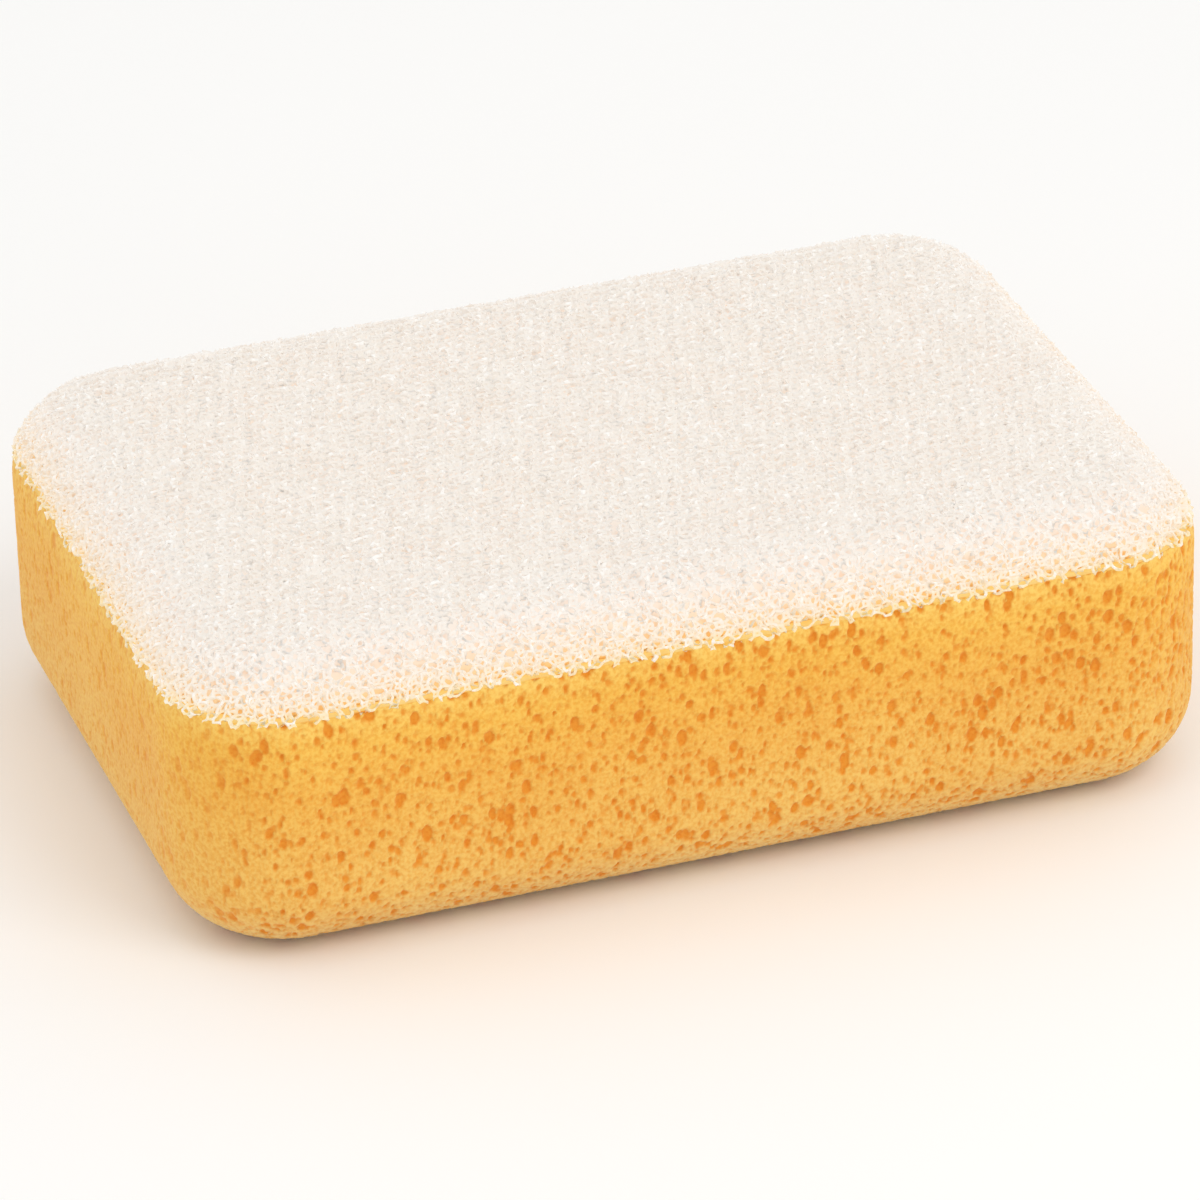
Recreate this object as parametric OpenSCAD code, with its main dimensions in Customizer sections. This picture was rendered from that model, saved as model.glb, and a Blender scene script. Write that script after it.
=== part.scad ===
// Two-layer grout sponge: an open-cell foam block with a coarse scrub pad bonded on top.
// The origin is at the centre of the underside, +X runs along the length and +Z is up.

/* [Block] */
// Overall length, along X
length = 184; // [130:1:240]
// Overall width, along Y
width = 127; // [90:1:180]
// Overall thickness, from the wiping face up to the scrubbing face
thickness = 57; // [40:1:80]

/* [Edges] */
// Radius of the four upright corners, seen from above
corner_radius = 21.5; // [17:0.5:40]
// Radius all round the lower edge
lower_edge_radius = 15; // [4:0.5:16]
// Radius all round the upper edge
upper_edge_radius = 14.5; // [4:0.5:16]

/* [Layers] */
// Thickness of the scrub pad
pad_thickness = 10; // [3:0.5:14]
// Thickness of the waterproof bond between the foam block and the pad
bond_thickness = 0.4; // [0.2:0.1:1]

/* [Hidden] */
$fn = 96;
pad_base = thickness - pad_thickness;
bond_base = pad_base - bond_thickness;
straight_x = length - 2 * corner_radius;
straight_y = width - 2 * corner_radius;

// Half section of the rounded rim, from a corner's axis out to the side wall.
module rim_section() {
    lower_run = corner_radius - lower_edge_radius;
    upper_run = corner_radius - upper_edge_radius;
    wall_height = thickness - lower_edge_radius - upper_edge_radius;
    intersection() {
        square([corner_radius, thickness]);
        union() {
            square([lower_run, lower_edge_radius]);
            translate([0, lower_edge_radius]) square([corner_radius, wall_height]);
            translate([0, thickness - upper_edge_radius]) square([upper_run, upper_edge_radius]);
            translate([lower_run, lower_edge_radius]) circle(r = lower_edge_radius);
            translate([upper_run, thickness - upper_edge_radius]) circle(r = upper_edge_radius);
        }
    }
}

// A straight run of rim, as long as run, with its wall facing +X.
module straight_rim(run) {
    translate([0, run / 2, 0]) rotate([90, 0, 0]) linear_extrude(height = run) rim_section();
}

// The whole block as one solid: a core box, four straight rims and four quarter-turn corners.
module rounded_block() {
    translate([-straight_x / 2, -straight_y / 2, 0]) cube([straight_x, straight_y, thickness]);
    for (side = [0, 180]) {
        rotate(side) translate([straight_x / 2, 0, 0]) straight_rim(straight_y);
        rotate(side + 90) translate([straight_y / 2, 0, 0]) straight_rim(straight_x);
    }
    for (end = [0, 1], edge = [0, 1])
        mirror([end, 0, 0]) mirror([0, edge, 0])
            translate([straight_x / 2, straight_y / 2, 0])
                rotate_extrude(angle = 90) rim_section();
}

// The layer of the block between two heights.
module layer(base, top) {
    intersection() {
        rounded_block();
        translate([-length / 2, -width / 2, base]) cube([length, width, top - base]);
    }
}

module sponge_body() { color([0.94, 0.69, 0.32]) layer(0, bond_base); }
module bond_layer() { color([0.96, 0.77, 0.42]) layer(bond_base, pad_base); }
module scrub_pad() { color([0.96, 0.93, 0.88]) layer(pad_base, thickness); }

sponge_body();
bond_layer();
scrub_pad();
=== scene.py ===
"""A two-layer grout sponge: an open-cell foam block, a film of adhesive and a scrub pad of coarse
reticulated foam. Every piece is built in the CAD part's frame, in metres."""

from math import cos, pi, radians, sin

import bpy
import numpy as np
from mathutils import Matrix, Vector


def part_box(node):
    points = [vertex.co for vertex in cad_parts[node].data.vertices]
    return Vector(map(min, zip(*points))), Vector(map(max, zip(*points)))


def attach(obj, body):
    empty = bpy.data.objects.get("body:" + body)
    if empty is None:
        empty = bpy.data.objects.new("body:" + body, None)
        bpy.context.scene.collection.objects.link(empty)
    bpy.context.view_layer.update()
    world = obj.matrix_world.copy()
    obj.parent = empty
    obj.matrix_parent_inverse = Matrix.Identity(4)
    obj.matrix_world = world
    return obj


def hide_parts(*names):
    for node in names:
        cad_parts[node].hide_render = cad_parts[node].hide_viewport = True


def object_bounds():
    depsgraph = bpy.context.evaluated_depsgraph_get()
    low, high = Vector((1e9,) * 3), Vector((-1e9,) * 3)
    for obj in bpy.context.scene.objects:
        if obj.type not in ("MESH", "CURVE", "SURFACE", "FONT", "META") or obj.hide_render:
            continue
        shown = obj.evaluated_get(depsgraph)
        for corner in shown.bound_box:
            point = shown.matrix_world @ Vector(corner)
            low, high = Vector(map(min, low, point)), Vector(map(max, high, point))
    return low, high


MM = 0.001

# The outline that all three layers share, as in the CAD part.
CORNER = 21.5 * MM
LOWER_RIM = 15.0 * MM
UPPER_RIM = 14.5 * MM

# The sponge's surface grid, its deepest pore and how uneven its skin is.
SPONGE_STEP = 0.3 * MM
DEEPEST_PORE = 0.6 * MM
UNEVEN = 0.06 * MM

# The film's surface grid, its edge, in from the block's outline, and how far that edge wanders.
FILM_STEP = 0.8 * MM
FILM_INSET = 0.75 * MM
FILM_BEVEL = 0.1 * MM
FILM_WANDER = 0.12 * MM

# The scrub pad's open lattice: the width of a cell and how far a strut's edges are from its
# middle line. Its outermost junctions lie FLUSH inside the pad's surface, less an OVERHANG at the
# pad's foot that fades to none by OVERHANG_RISE of its height. Junctions up to DRAWN_IN outside
# that are drawn onto it. The lowest struts hang down by HANG over the film and the top of the
# block, and there the allowance is STEEP times less. LATTICE_TURN, in degrees about z, y and x,
# keeps every plane of the lattice well away from the pad's flat top.
CELL = 2.15 * MM
STRUT = 0.28 * MM
WARP = 0.09 * CELL
FLUSH = 0.15 * MM
DRAWN_IN = 0.35 * MM
HANG = 1.0 * MM
STEEP = 10
OVERHANG = 0.5 * MM
OVERHANG_RISE = 1 / 1.8
LATTICE_TURN = (40.0, -33.0, 43.0)

# The pad's core, a closed skin under the struts: its surface grid, how far under the pad's surface
# it lies, how much further in plan, how far the lattice reaches into it and how deep its dimples
# are.
CORE_STEP = 0.45 * MM
CORE_COVER = 1.0 * MM
CORE_SHY = 0.6 * MM
CORE_OVERLAP = 0.4 * MM
CORE_DIMPLE = 0.6 * MM

# The camera, a long lens a little over a metre away.
AZIMUTH, ELEVATION, ROLL = -18.52, 28.51, -1.53
DISTANCE, ACROSS, ABOVE = 1.3372, -0.00036, 0.0203
LENS = 229.1


# ---------------------------------------------------------------- meshes

def add_object(name, vertices, faces, corner_uvs, smooth):
    """An object from its vertices, a list of face arrays, one for each corner count, the place of
    each face corner in its colour map, and how many of the faces, from the first, are smooth."""
    mesh = bpy.data.meshes.new(name)
    corners = np.concatenate([f.ravel() for f in faces]).astype(np.int32)
    counts = np.concatenate([np.full(len(f), f.shape[1]) for f in faces])
    starts = np.concatenate([[0], np.cumsum(counts)[:-1]]).astype(np.int32)
    mesh.vertices.add(len(vertices))
    mesh.vertices.foreach_set("co", vertices.astype(np.float32).ravel())
    mesh.loops.add(len(corners))
    mesh.loops.foreach_set("vertex_index", corners)
    mesh.polygons.add(len(starts))
    mesh.polygons.foreach_set("loop_start", starts)
    mesh.polygons.foreach_set("use_smooth", np.arange(len(starts)) < smooth)
    mesh.update(calc_edges=True)
    layer = mesh.uv_layers.new(name="OFBake")
    layer.data.foreach_set("uv", corner_uvs.astype(np.float32).ravel())
    piece = bpy.data.objects.new(name, mesh)
    bpy.context.scene.collection.objects.link(piece)
    return piece


def store(piece, name, values):
    """Keeps one number for each vertex, for a material to read."""
    attribute = piece.data.attributes.new(name, "FLOAT", "POINT")
    attribute.data.foreach_set("value", values.astype(np.float32))


def unit(vectors):
    return vectors / np.linalg.norm(vectors, axis=1)[:, None]


def ripple(points, rng, shortest, longest, count=12):
    """Smooth random waves through space, between about -1 and 1."""
    way = unit(rng.normal(size=(count, 3)))
    way *= 2 * pi / rng.uniform(shortest, longest, count)[:, None]
    waves = np.cos(points @ way.T + rng.uniform(0, 2 * pi, count))
    return waves @ (rng.normal(size=count) / np.sqrt(count / 2))


# ---------------------------------------------------------------- rounded slabs

def ring_columns(nx, ny):
    """Grid places round the edge of an nx by ny grid, counter-clockwise from its first corner."""
    x, y = np.arange(nx), np.arange(ny)
    i = np.concatenate([x, np.full(ny, nx), nx - x, np.zeros(ny, int)])
    j = np.concatenate([np.zeros(nx, int), y, np.full(nx, ny), ny - y])
    return i, j


def tile(numbers):
    """Four-cornered faces over a grid of vertex numbers."""
    return np.stack([numbers[:-1, :-1], numbers[1:, :-1], numbers[1:, 1:], numbers[:-1, 1:]],
                    -1).reshape(-1, 4)


def lid(numbers, wide):
    """Covers a grid face with tiles that many squares wide, keeping every vertex of its edge."""
    last_i, last_j = numbers.shape[0] - 1, numbers.shape[1] - 1
    tiles = {}
    for a in range(0, last_i, wide):
        for b in range(0, last_j, wide):
            c, d = a + wide, b + wide
            loop = [numbers[i, b] for i in (range(a, c) if b == 0 else [a])]
            loop += [numbers[c, j] for j in (range(b, d) if c == last_i else [b])]
            loop += [numbers[i, d] for i in (range(c, a, -1) if d == last_j else [c])]
            loop += [numbers[a, j] for j in (range(d, b, -1) if a == 0 else [d])]
            tiles.setdefault(len(loop), []).append(loop)
    return [np.array(t) for t in tiles.values()]


def slab_grid(nx, ny, nz, wide):
    """A closed box of grid faces. Returns the vertices' places (i, j, k) and, as vertex numbers,
    the faces of its face at k = 0, of its sides, and of the coarse lid opposite."""
    i, j = ring_columns(nx, ny)
    around = len(i)
    wall = np.arange(around * (nz + 1)).reshape(nz + 1, around)
    rows = np.repeat(np.arange(nz + 1), around)
    places = [np.stack([np.tile(i, nz + 1), np.tile(j, nz + 1), rows], 1)]
    ends, first = [], wall.size
    for row, gap in ((0, 1), (nz, wide)):
        cross = np.meshgrid(np.arange(gap, nx, gap), np.arange(gap, ny, gap))
        inner = np.stack(cross, -1).reshape(-1, 2)
        numbers = np.full((nx + 1, ny + 1), -1)
        numbers[i, j] = wall[row]
        numbers[inner[:, 0], inner[:, 1]] = first + np.arange(len(inner))
        first += len(inner)
        places.append(np.hstack([inner, np.full((len(inner), 1), row)]))
        ends.append(numbers)
    sides = tile(np.vstack([wall.T, wall.T[:1]]))
    return np.concatenate(places), tile(ends[0])[:, ::-1], sides, lid(ends[1], wide)


def slab_uvs(places, size, face, sides, lids):
    """Lays the slab's face and its four sides out side by side, to one scale, and its hidden lid
    beside them, smaller."""
    nx, ny, nz = size
    i, j, k = places.T
    gap, lid_scale = 6, 0.2
    middle = places[sides].mean(1)
    along_x = (middle[:, 1] == 0) | (middle[:, 1] == ny)
    far = np.where(along_x, middle[:, 1] == ny, middle[:, 0] == nx)
    shift = (far * (nz + gap))[:, None]
    rows = np.stack([i, ny + gap + k], 1)[sides]
    columns = np.stack([nx + gap + k, j], 1)[sides]
    rows[:, :, 1] += shift
    columns[:, :, 0] += shift
    spots = [np.stack([i, j], 1)[face], np.where(along_x[:, None, None], rows, columns)]
    spots += [(np.stack([i, j], 1) * lid_scale)[tiles] + (nx + gap, ny + gap) for tiles in lids]
    flat = np.concatenate([s.reshape(-1, 2) for s in spots]).astype(float)
    return (flat + gap) / (max(nx, ny) + 2 * nz + lid_scale * max(nx, ny) + 4 * gap)


class Slab:
    """A slab with the block's outline, as points on a grid with the way out of the surface at each.
    Its profile, a list of (inset, z), runs from the edge of the hidden lid, down or up the side, to
    where the flat face begins."""

    def __init__(self, profile, step, wide=8):
        profile = np.array(profile)
        run = np.concatenate([[0], np.cumsum(np.linalg.norm(np.diff(profile, axis=0), axis=1))])
        flat_from = profile[-1, 0]
        self.size = [wide * round(2 * half / step / wide) for half in (HALF_X, HALF_Y)]
        self.size.append(max(round((run[-1] - flat_from) / step), 1))
        self.grid = slab_grid(*self.size, wide)
        i, j, k = (self.grid[0] / self.size).T

        # In plan: each grid point's place, the way straight out from the middle there, and how far
        # in from the outline it is. The grid's square corners are bent round the block's.
        x, y = (2 * i - 1) * HALF_X, (2 * j - 1) * HALF_Y
        inner_x, inner_y = HALF_X - CORNER, HALF_Y - CORNER
        over_x, over_y = np.abs(x) - inner_x, np.abs(y) - inner_y
        at_corner = (over_x > 0) & (over_y > 0)
        turn = np.arctan2(over_y, over_x)
        facing_x = over_x > over_y
        out_x = np.where(at_corner, np.cos(turn), facing_x) * np.sign(x)
        out_y = np.where(at_corner, np.sin(turn), ~facing_x) * np.sign(y)
        inset = CORNER - np.maximum(over_x, over_y)
        x = np.where(at_corner, np.sign(x) * inner_x + (CORNER - inset) * out_x, x)
        y = np.where(at_corner, np.sign(y) * inner_y + (CORNER - inset) * out_y, y)

        # Along the profile: the sides and the outer part of the flat face share its length, so that
        # the grid's steps stay even over the rims. The lid, at k = 1, is flat.
        along = np.where(k < 1, (1 - k) * (run[-1] - flat_from) + inset, 0)
        drawn = np.where(along < run[-1], np.interp(along, run, profile[:, 0]), inset)
        drawn = np.where(k == 1, inset + profile[0, 0] * np.maximum(1 - inset / flat_from, 0), drawn)
        z = np.where(k == 1, profile[0, 1], np.interp(along, run, profile[:, 1]))
        self.out = np.stack([out_x, out_y, np.zeros(len(x))], 1)
        self.points = np.stack([x, y, z], 1) + self.out * (inset - drawn)[:, None]

        # The way out of the surface, from the profile's slope.
        slope = np.gradient(profile, run, axis=0)
        lean = np.interp(along, run, np.abs(slope[:, 1]))
        lean = np.where(along < run[-1], lean, 0) * (inset < flat_from)
        facing = np.sign(profile[-1, 1] - profile[0, 1])
        self.normals = self.out * lean[:, None]
        self.normals[:, 2] = facing * np.sqrt(1 - lean ** 2)
        self.on_lid = k == 1
        self.upward = facing > 0

    def build(self, name):
        face, sides, lids = self.grid[1:]
        uvs = slab_uvs(self.grid[0], self.size, face, sides, lids)
        faces = [np.concatenate([face, sides])] + lids
        if self.upward:
            shares = np.split(uvs, np.cumsum([f.size for f in faces])[:-1])
            uvs = np.concatenate([share.reshape(len(f), -1, 2)[:, ::-1].reshape(-1, 2)
                                  for f, share in zip(faces, shares)])
            faces = [f[:, ::-1] for f in faces]
        return add_object(name, self.points, faces, uvs, smooth=len(faces[0]))


def arc(centre, radius, first, last, count=60):
    """Points (inset, z) along an arc; angles are degrees up from straight outward."""
    turn = np.radians(np.linspace(first, last, count))
    return np.stack([centre[0] - radius * np.cos(turn), centre[1] + radius * np.sin(turn)], 1)


def bubble_depth(points, normals, rng, cell, share, smallest, largest, tall):
    """How far in from each surface point the bubbles of one size class reach. There is one place
    for a bubble in each cube of side cell, and share of them are filled. tall stretches them in z.
    Space is rippled a little first, so that no bubble is quite round. No pit is deeper than a half
    bubble, so each is an open bowl with no undercut wall."""
    bend = [ripple(points, rng, 1.2 * largest, 5 * largest) for _ in range(3)]
    points = points + 0.14 * largest * np.stack(bend, 1)
    low = np.floor(points.min(0) / cell).astype(int) - 1
    count = np.floor(points.max(0) / cell).astype(int) + 3 - low
    luck = rng.random((count.prod(), 5), dtype=np.float32)
    home = np.floor(points / cell).astype(int) - low
    squash = np.array([1.0, 1.0, 1.0 / tall])
    outward = normals * squash
    steepness = (outward ** 2).sum(1)
    depth = np.zeros(len(points))
    for dx in (-1, 0, 1):
        for dy in (-1, 0, 1):
            for dz in (-1, 0, 1):
                spot = home + (dx, dy, dz)
                dice = luck[(spot[:, 0] * count[1] + spot[:, 1]) * count[2] + spot[:, 2]]
                radius = smallest + (largest - smallest) * dice[:, 3] ** 1.5
                away = (points - (spot + low + dice[:, :3]) * cell) * squash
                along = np.minimum((away * outward).sum(1), 0)
                inside = radius ** 2 - (away ** 2).sum(1)
                hit = (inside > 0) & (dice[:, 4] < share)
                far = (along + np.sqrt(along ** 2 + steepness * np.maximum(inside, 0))) / steepness
                depth = np.where(hit, np.maximum(depth, far), depth)
    return depth


# ---------------------------------------------------------------- the sponge block

def sponge_block(low, high):
    """The foam block, its whole surface pitted where the cut opened bubbles."""
    rng = np.random.default_rng(11)
    shoulder = TOP - UPPER_RIM
    first = np.degrees(np.arcsin((high[2] - shoulder) / UPPER_RIM))
    upper = arc((UPPER_RIM, shoulder), UPPER_RIM, first, 0)
    lower = arc((LOWER_RIM, low[2] + LOWER_RIM), LOWER_RIM, 0, -90)
    slab = Slab(np.concatenate([upper, lower]), SPONGE_STEP)
    p, n = slab.points, slab.normals
    depth = np.maximum.reduce([
        bubble_depth(p, n, rng, 2.3 * MM, 0.80, 0.45 * MM, 1.00 * MM, 1.6),
        0.8 * bubble_depth(p, n, rng, 1.4 * MM, 0.95, 0.36 * MM, 0.64 * MM, 1.5),
        0.6 * bubble_depth(p, n, rng, 0.9 * MM, 0.75, 0.24 * MM, 0.40 * MM, 1.2)])
    depth = DEEPEST_PORE * np.tanh(depth / DEEPEST_PORE)
    uneven = np.maximum(1 + ripple(p, rng, 0.8 * MM, 2.5 * MM, 16), 0) * UNEVEN
    smoother = 1 - 1.1 * (-n[:, 0] - 0.3).clip(0, 0.5)  # the end at -X has the smoothest skin
    depth *= smoother
    p -= n * ((depth + uneven * smoother) * ~slab.on_lid)[:, None]
    piece = slab.build("sponge_block")
    store(piece, "pore", depth / DEEPEST_PORE)
    return piece


# ---------------------------------------------------------------- the adhesive film

def bond_film(low, high):
    """A thin film of adhesive with a slightly wandering edge."""
    rng = np.random.default_rng(5)
    profile = [(FILM_INSET, low[2]), (FILM_INSET, high[2] - FILM_BEVEL),
               (FILM_INSET + FILM_BEVEL, high[2])]
    slab = Slab(profile, FILM_STEP)
    wander = np.maximum(1 + ripple(slab.points, rng, 2 * MM, 9 * MM), 0) * FILM_WANDER
    on_side = slab.normals[:, 2] < 0.9
    slab.points -= slab.out * (wander * on_side)[:, None]
    return slab.build("bond_film")


# ---------------------------------------------------------------- the scrub pad

def pad_core(low, high):
    """The dense middle of the pad, under the open struts, dimpled cell by cell."""
    rng = np.random.default_rng(23)
    shoulder = TOP - UPPER_RIM
    radius = UPPER_RIM - CORE_COVER
    first = np.degrees(np.arcsin((low[2] - shoulder) / radius))
    slab = Slab(arc((UPPER_RIM + CORE_SHY, shoulder), radius, first, 90), CORE_STEP)
    p, n = slab.points, slab.normals
    depth = bubble_depth(p, n, rng, 1.9 * MM, 1.0, 0.7 * MM, 1.1 * MM, 1.0)
    depth = np.minimum(depth, CORE_DIMPLE)
    p -= n * (depth * ~slab.on_lid)[:, None]
    piece = slab.build("pad_core")
    store(piece, "pore", depth / CORE_DIMPLE)
    return piece


def dome(points, shrink, shy):
    """Distance outside the pad's domed surface drawn in by shrink all over and by shy in plan."""
    x, y, z = points.T
    over_x = np.abs(x) - (HALF_X - CORNER)
    over_y = np.abs(y) - (HALF_Y - CORNER)
    plan = np.hypot(np.maximum(over_x, 0), np.maximum(over_y, 0))
    plan += np.minimum(np.maximum(over_x, over_y), 0) - CORNER
    a, b = plan + UPPER_RIM + shy, z - (TOP - UPPER_RIM)
    return np.where((a > 0) & (b > 0), np.hypot(a, b), np.maximum(a, b)) - UPPER_RIM + shrink


# Around each junction of a foam of 14-sided cells there are six cell walls: two squares, numbered
# 0 and 1, and four hexagons, 2 to 5. STRUTS gives the three walls that meet along each of its four
# struts, CELLS the three that bound each of its four cells, both wound for a right-handed junction.
STRUTS = ((0, 3, 2), (0, 4, 5), (1, 4, 2), (1, 3, 5))
CELLS = ((0, 2, 4), (0, 5, 3), (1, 2, 3), (1, 5, 4))
# The same wall's number at the strut's other end, by kind of strut and by handedness of the step.
MATES = np.array((((0, 0, 4, 5, 4, 5), (0, 0, 2, 3, 2, 3)),
                  ((1, 1, 3, 3, 5, 5), (1, 1, 2, 2, 4, 4))))


def lattice_turn():
    a, b, c = (radians(t) for t in LATTICE_TURN)
    turn = Matrix.Rotation(a, 3, "Z") @ Matrix.Rotation(b, 3, "Y") @ Matrix.Rotation(c, 3, "X")
    return np.array(turn)


def junction_places(low, high, turn, pitch):
    """Whole-number places of the junctions that fall in a box, in order of their keys."""
    box = np.array([[x, y, z] for x in (low[0], high[0]) for y in (low[1], high[1])
                    for z in (low[2], high[2])]) @ turn / pitch
    first, last = np.floor(box.min(0)).astype(int) - 1, np.ceil(box.max(0)).astype(int) + 1
    i, j = np.meshgrid(np.arange(first[0], last[0]), np.arange(first[1], last[1]), indexing="ij")
    lift = turn[2] * pitch
    ends = [(z - lift[0] * i - lift[1] * j) / lift[2] for z in (low[2], high[2])]
    k = np.floor(np.minimum(*ends)).astype(int)[..., None]
    k = k + np.arange(int((high[2] - low[2]) / abs(lift[2])) + 3)
    places = np.stack([np.broadcast_to(v[..., None], k.shape) for v in (i, j)] + [k], -1)
    places = places.reshape(-1, 3)
    rest = places % 4
    even = rest % 2 == 0
    places = places[(even.sum(1) == 2) & ((rest * even).sum(1) == 2)]
    at = places @ turn.T * pitch
    return places[((at > low) & (at < high)).all(1)]


class Foam:
    """The junctions of a randomly warped foam, and the struts between them."""

    def __init__(self, low, high, level, rng):
        self.turn, self.pitch = lattice_turn(), CELL / 4
        self.waves = [(rng.integers(1 << 30), axis) for axis in range(3)]
        places = junction_places(low, high, self.turn, self.pitch)
        self.corner = places.min(0) - 4
        self.span = places.max(0) - places.min(0) + 8
        places = places[np.argsort(self.key(places))]
        self.places, self.keys = places, self.key(places)

        # Of each place's three numbers one is 0 and one is 2, modulo 4, and one is odd. axis holds
        # the directions of the first two; main is along the odd one's, and side says which way.
        rest = places % 4
        self.axis = [np.eye(3, dtype=int)[(rest == v).argmax(1)] for v in (0, 2)]
        odd = rest % 2 == 1
        self.side = np.where((rest * odd).sum(1) == 1, -1, 1)
        self.main = np.eye(3, dtype=int)[odd.argmax(1)] * self.side[:, None]
        right = (self.axis[0].argmax(1) - odd.argmax(1)) % 3 == 1
        self.right = (self.side == 1) == right

        most = 0.15 * CELL
        jitter = rng.normal(scale=WARP, size=places.shape).clip(-most, most)
        self.free = self.locate(places) + jitter
        self.settle(level)
        self.steps = [self.main + self.axis[0], self.main - self.axis[0],
                      -self.main + self.axis[1], -self.main - self.axis[1]]
        self.find_neighbours()
        self.draw_walls(rng)

    def key(self, places):
        p = places - self.corner
        return (p[:, 0] * self.span[1] + p[:, 1]) * self.span[2] + p[:, 2]

    def locate(self, places):
        """Real positions of lattice places, warped so that no two cells are alike."""
        p = places @ self.turn.T * self.pitch
        moved = p.copy()
        for seed, axis in self.waves:
            rng = np.random.default_rng(seed)
            moved[:, axis] += WARP * ripple(p, rng, 1.4 * CELL, 3.5 * CELL)
        return moved

    def settle(self, level):
        """Keeps the junctions inside the surface where level is 0, and draws those that are only a
        little way outside onto it."""
        here = level(self.free)
        tiny = 0.01 * MM
        slope = np.stack([level(self.free + step) - here for step in np.eye(3) * tiny], 1) / tiny
        self.depth = -here
        self.kept = here < DRAWN_IN
        back = here.clip(0, DRAWN_IN) / (slope ** 2).sum(1).clip(1)
        self.at = self.free - slope * back[:, None]

    def find_neighbours(self):
        """The junction at the far end of each strut, or -1; then drops junctions left hanging."""
        self.next = []
        for step in self.steps:
            key = self.key(self.places + step)
            found = np.searchsorted(self.keys, key).clip(0, len(self.keys) - 1)
            self.next.append(np.where(self.keys[found] == key, found, -1))
        for _ in range(3):
            held = sum((self.kept[n] & (n >= 0)).astype(int) for n in self.next)
            self.kept &= held > 1

    def draw_walls(self, rng):
        """Six points round each junction, a little way along its six walls. reach is how far the
        middle of a wall, a square or a hexagon, is from the middle lines of the struts round it."""
        a, b = self.axis
        walls = [self.main, -self.main, a + b, a - b, b - a, -a - b]
        middle = np.stack([self.locate(self.places + w) for w in walls], 1)
        reach = np.array([0.7071] * 2 + [1.2247] * 4) * self.pitch
        weight = rng.uniform(0.85, 1.2, len(self.at))[:, None] * STRUT
        self.ring = self.at[:, None] + (middle - self.free[:, None]) * (weight / reach)[..., None]

    def mesh(self):
        """Vertices and faces of the kept junctions, of the struts between them and of the flat cuts
        where a strut is missing, and how deep inside the surface each vertex's junction lay."""
        kept = np.flatnonzero(self.kept)
        row = np.full(len(self.kept), -1)
        row[kept] = np.arange(len(kept)) * 6
        triangles, quads = [], []

        def wound(faces, who):
            return np.where(self.right[who][:, None], faces, faces[:, ::-1])

        for cell in CELLS:
            triangles.append(wound(row[kept][:, None] + cell, kept))
        for s, (step, walls) in enumerate(zip(self.steps, STRUTS)):
            other = self.next[s]
            joined = self.kept & (other >= 0) & self.kept[other]
            here = np.flatnonzero(joined & (other > np.arange(len(other))))
            mates = MATES[s // 2, ((self.side[here] > 0) == (s > 1)).astype(int)][:, walls]
            near = row[here][:, None] + walls
            far = row[other[here]][:, None] + mates
            quads += [wound(side_of(near, far, m), here) for m in range(3)]
            ends = np.flatnonzero(self.kept & ~joined)
            triangles.append(wound(row[ends][:, None] + walls, ends))
        faces = [np.concatenate(triangles), np.concatenate(quads)]
        return self.ring[kept].reshape(-1, 3), faces, self.depth[kept].repeat(6)


def side_of(near, far, m):
    """One of a strut's three long faces."""
    n = (m + 1) % 3
    return np.stack([near[:, m], near[:, n], far[:, n], far[:, m]], 1)


def pad_lattice(low, high):
    """The open foam of the scrub pad, cut flush with the pad's outside."""
    rng = np.random.default_rng(7)
    margin = Vector((1 * MM, 1 * MM, 1 * MM))

    def level(points):
        """How far a point is outside the shell that the lattice fills."""
        rise = (points[:, 2] - low[2]) / (high[2] - low[2])
        outside = dome(points, FLUSH, 0) - OVERHANG * np.clip(1 - rise / OVERHANG_RISE, 0, 1)
        below = STEEP * (low[2] - HANG - points[:, 2])
        in_core = -CORE_OVERLAP - dome(points, CORE_COVER, CORE_SHY)
        return np.maximum.reduce([outside, below, in_core])

    foam = Foam(np.array(low - margin), np.array(high + margin), level, rng)
    vertices, faces, depth = foam.mesh()
    spread = vertices[:, :2] / (2 * HALF_X + 2 * MM) + 0.5
    uvs = spread[np.concatenate([f.ravel() for f in faces])]
    piece = add_object("pad_lattice", vertices, faces, uvs, smooth=0)
    gleam = rng.random(len(depth) // 6).repeat(6) ** 4
    on_surface = depth < 0.1 * MM
    store(piece, "gleam", np.where(on_surface, gleam, 0))
    # The struts are thin and let light through, so they keep none of it from one another.
    piece.visible_shadow = False
    piece.visible_diffuse = False
    return piece


# ---------------------------------------------------------------- materials

def new_material(name):
    """A material, its node tree's adder and linker, and its Principled shader."""
    material = bpy.data.materials.new(name)
    material.use_nodes = True
    tree = material.node_tree
    return material, tree.nodes.new, tree.links.new, tree.nodes["Principled BSDF"]


def noise(add, link, where, scale, detail, name):
    node = add("ShaderNodeTexNoise")
    node.label = name
    node.inputs["Scale"].default_value = scale
    node.inputs["Detail"].default_value = detail
    link(where, node.inputs["Vector"])
    return node.outputs["Fac"]


def ramp(add, link, value, stops):
    node = add("ShaderNodeValToRGB")
    elements = node.color_ramp.elements
    while len(elements) < len(stops):
        elements.new(0.5)
    for element, (place, colour) in zip(elements, stops):
        element.position = place
        element.color = (*colour, 1)
    link(value, node.inputs["Fac"])
    return node.outputs["Color"]


def mix(add, link, kind, amount, first, second):
    """Mixes two colours; amount is a number or a socket."""
    node = add("ShaderNodeMix")
    node.data_type, node.blend_type = "RGBA", kind
    sockets = [s for s in node.inputs if s.enabled]
    for socket, value in zip(sockets, (amount, first, second)):
        if isinstance(value, bpy.types.NodeSocket):
            link(value, socket)
        else:
            socket.default_value = value
    return next(s for s in node.outputs if s.enabled)


def grey(v):
    return (v, v, v)


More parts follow.
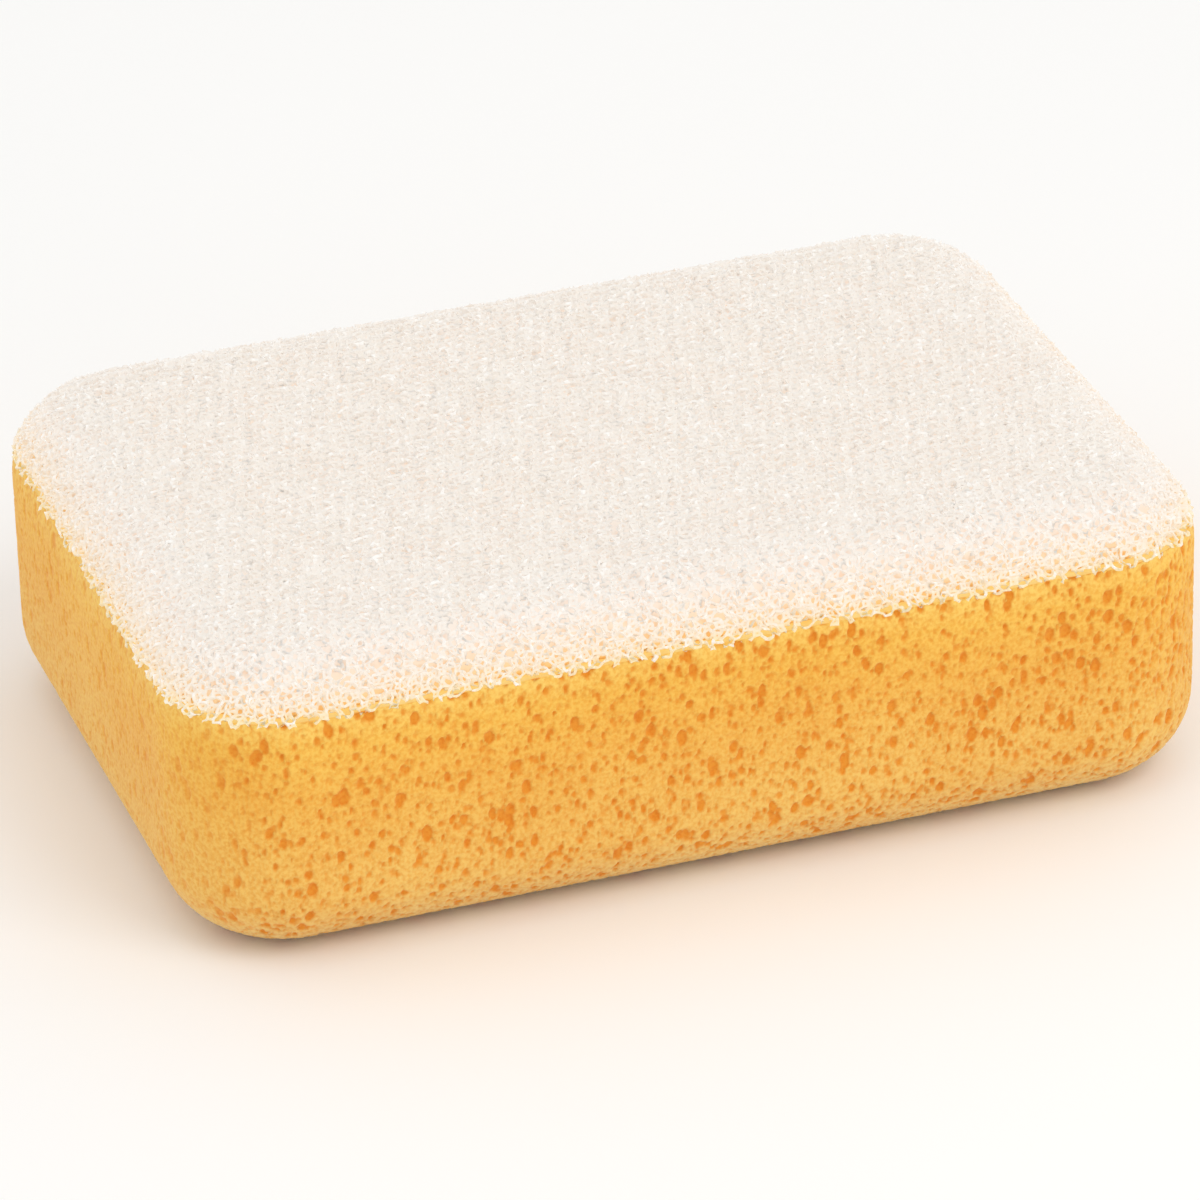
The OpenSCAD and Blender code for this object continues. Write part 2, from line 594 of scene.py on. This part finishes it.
def sponge_material(low, high):
    """Orange foam, a deeper orange inside its pores where shade is painted in, yellower under the
    pad, and paler near the floor where light is painted in.
    """
    material, add, link, shader = new_material("sponge foam")
    where = add("ShaderNodeTexCoord").outputs["Object"]
    # Painted light: the stops nearest the floor are paler.
    skin = ramp(add, link, height_in(add, link, where, low[2], high[2]), (
        (0.00, (0.86, 0.645, 0.28)), (0.25, (0.91, 0.59, 0.165)), (0.70, (0.925, 0.54, 0.108)),
        (0.90, (0.95, 0.58, 0.11)), (1.00, (0.97, 0.66, 0.17))))
    # Painted shade: the deeper a pore, the darker orange its colour.
    pore = add("ShaderNodeAttribute")
    pore.attribute_name = "pore"
    deep = ramp(add, link, pore.outputs["Fac"], ((0.0, grey(0)), (0.15, grey(0.2)), (0.6, grey(1))))
    colour = mix(add, link, "MIX", deep, skin, (0.84, 0.335, 0.035, 1))
    blotch = ramp(add, link, noise(add, link, where, 60, 3, "blotches"),
                  ((0.3, (0.97, 0.90, 0.80)), (0.7, grey(1))))
    grain = ramp(add, link, noise(add, link, where, 1500, 2, "fine cells"),
                 ((0.35, (0.94, 0.79, 0.60)), (0.6, grey(1))))
    colour = mix(add, link, "MULTIPLY", 1.0, colour, blotch)
    colour = mix(add, link, "MULTIPLY", 1.0, colour, grain)
    link(colour, shader.inputs["Base Color"])
    shader.inputs["Roughness"].default_value = 0.9
    shader.inputs["Specular IOR Level"].default_value = 0.2
    shader.inputs["Sheen Weight"].default_value = 0.25
    shader.inputs["Sheen Roughness"].default_value = 0.5
    shader.inputs["Sheen Tint"].default_value = (1, 0.85, 0.6, 1)
    return material


def film_material():
    """Cured adhesive that has soaked into the top of the foam."""
    material, add, link, shader = new_material("cured adhesive")
    where = add("ShaderNodeTexCoord").outputs["Object"]
    colour = ramp(add, link, noise(add, link, where, 350, 3, "soaked patches"),
                  ((0.3, (0.95, 0.57, 0.13)), (0.7, (0.97, 0.66, 0.21))))
    link(colour, shader.inputs["Base Color"])
    shader.inputs["Roughness"].default_value = 0.55
    return material


def height_in(add, link, where, low, high):
    """How far up a point is between two heights, from 0 to 1."""
    split = add("ShaderNodeSeparateXYZ")
    link(where, split.inputs[0])
    height = add("ShaderNodeMapRange")
    height.inputs["From Min"].default_value = low
    height.inputs["From Max"].default_value = high
    link(split.outputs["Z"], height.inputs["Value"])
    return height.outputs[0]


def strut_material(low, high):
    """Creamy foam, warmer near the film, with white gleams here and there on its surface. Light
    goes some way into it, and so right through a strut."""
    material, add, link, shader = new_material("pad foam struts")
    where = add("ShaderNodeTexCoord").outputs["Object"]
    colour = ramp(add, link, height_in(add, link, where, low[2], high[2]), (
        (0.00, (0.95, 0.76, 0.47)), (0.12, (0.93, 0.82, 0.66)), (0.35, (0.905, 0.835, 0.745)),
        (0.70, (0.875, 0.815, 0.755)), (0.95, (0.84, 0.79, 0.735))))
    patches = ramp(add, link, noise(add, link, where, 120, 4, "patches"),
                   ((0.35, (0.98, 0.965, 0.95)), (0.65, grey(1))))
    colour = mix(add, link, "MULTIPLY", 1.0, colour, patches)
    gleam = add("ShaderNodeAttribute")
    gleam.attribute_name = "gleam"
    colour = mix(add, link, "MIX", gleam.outputs["Fac"], colour, (1, 0.995, 0.97, 1))
    link(colour, shader.inputs["Base Color"])
    shader.inputs["Roughness"].default_value = 0.5
    shader.inputs["Specular IOR Level"].default_value = 0.4
    shader.inputs["Subsurface Weight"].default_value = 0.7
    shader.inputs["Subsurface Radius"].default_value = (1, 1, 1)
    shader.inputs["Subsurface Scale"].default_value = 1.0 * MM
    return material


def core_material(low, high):
    """The foam under the struts: cream above, turning peach and then orange near the film."""
    material, add, link, shader = new_material("pad foam core")
    where = add("ShaderNodeTexCoord").outputs["Object"]
    colour = ramp(add, link, height_in(add, link, where, low[2], high[2]), (
        (0.00, (0.98, 0.57, 0.17)), (0.15, (0.97, 0.66, 0.35)), (0.40, (0.95, 0.74, 0.55)),
        (0.65, (0.92, 0.80, 0.70)), (0.95, (0.88, 0.82, 0.76))))
    hollow = add("ShaderNodeAttribute")
    hollow.attribute_name = "pore"
    shade = ramp(add, link, hollow.outputs["Fac"], ((0.0, grey(1)), (1.0, (1.0, 0.95, 0.90))))
    patches = ramp(add, link, noise(add, link, where, 150, 3, "patches"),
                   ((0.35, (1.0, 0.95, 0.92)), (0.65, grey(1))))
    colour = mix(add, link, "MULTIPLY", 1.0, colour, shade)
    colour = mix(add, link, "MULTIPLY", 1.0, colour, patches)
    link(colour, shader.inputs["Base Color"])
    shader.inputs["Roughness"].default_value = 0.8
    shader.inputs["Specular IOR Level"].default_value = 0.2
    return material


def floor_material():
    material, add, link, shader = new_material("studio floor")
    where = add("ShaderNodeTexCoord").outputs["Object"]
    colour = ramp(add, link, noise(add, link, where, 3, 2, "faint clouds"),
                  ((0.3, grey(0.95)), (0.7, grey(0.97))))
    link(colour, shader.inputs["Base Color"])
    shader.inputs["Roughness"].default_value = 0.8
    return material


# ---------------------------------------------------------------- studio

def add_floor():
    bpy.ops.mesh.primitive_plane_add(size=8)
    floor = bpy.context.object
    floor.name = "floor"
    floor.data.materials.append(floor_material())


def add_light(name, place, size, power, colour):
    """A square soft light aimed at the middle of the block."""
    data = bpy.data.lights.new(name, "AREA")
    data.size, data.energy, data.color = size, power, colour
    light = bpy.data.objects.new(name, data)
    light.location = place
    aim = Vector((0, 0, 0.03)) - Vector(place)
    light.rotation_euler = aim.to_track_quat("-Z", "Y").to_euler()
    bpy.context.scene.collection.objects.link(light)


def add_studio():
    world = bpy.data.worlds.new("studio")
    world.use_nodes = True
    background = world.node_tree.nodes["Background"]
    background.inputs["Color"].default_value = (1, 0.995, 0.98, 1)
    background.inputs["Strength"].default_value = 0.85
    scene = bpy.context.scene
    scene.world = world
    scene.view_settings.view_transform = "Standard"
    add_light("key", (0.55, -1.0, 1.3), 0.9, 6, (1, 0.985, 0.95))
    add_light("top", (-0.4, 0, 1.4), 1.0, 1.3, (1, 1, 1))


def add_camera():
    """A camera that looks down at the block's near left corner."""
    a, e, r = radians(AZIMUTH), radians(ELEVATION), radians(ROLL)
    back = Vector((sin(a) * cos(e), -cos(a) * cos(e), sin(e)))
    right = (-back).cross(Vector((0, 0, 1))).normalized()
    up = right.cross(-back)
    right, up = right * cos(r) + up * sin(r), up * cos(r) - right * sin(r)
    data = bpy.data.cameras.new("camera")
    data.lens, data.sensor_width = LENS, 36
    data.clip_start, data.clip_end = 0.05, 50
    camera = bpy.data.objects.new("camera", data)
    camera.matrix_world = Matrix((right, up, back)).transposed().to_4x4()
    camera.location = back * DISTANCE + right * ACROSS + up * ABOVE
    bpy.context.scene.collection.objects.link(camera)
    bpy.context.scene.camera = camera


# ---------------------------------------------------------------- assembly

def place(piece, material, slot, *nodes, soft=True):
    """Fixes a finished piece to the part's one body, in place of the CAD nodes that are named."""
    piece.data.materials.append(material)
    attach(piece, "root")
    if nodes:
        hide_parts(*nodes)


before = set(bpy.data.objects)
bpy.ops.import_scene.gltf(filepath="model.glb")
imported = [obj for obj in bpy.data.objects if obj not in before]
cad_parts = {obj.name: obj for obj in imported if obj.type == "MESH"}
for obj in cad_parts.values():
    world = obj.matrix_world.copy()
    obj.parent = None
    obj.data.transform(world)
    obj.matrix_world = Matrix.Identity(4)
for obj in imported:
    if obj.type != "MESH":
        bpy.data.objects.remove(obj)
CAD_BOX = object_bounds()
HALF_X, HALF_Y, TOP = CAD_BOX[1]

block, film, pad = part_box("sponge_body"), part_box("bond_layer"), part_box("scrub_pad")
place(sponge_block(*block), sponge_material(*block), "sponge_foam", "sponge_body")
place(bond_film(*film), film_material(), "bond_adhesive", "bond_layer", soft=False)
place(pad_core(*pad), core_material(*pad), "pad_foam")
place(pad_lattice(*pad), strut_material(*pad), "pad_foam", "scrub_pad")

add_floor()
add_studio()
add_camera()
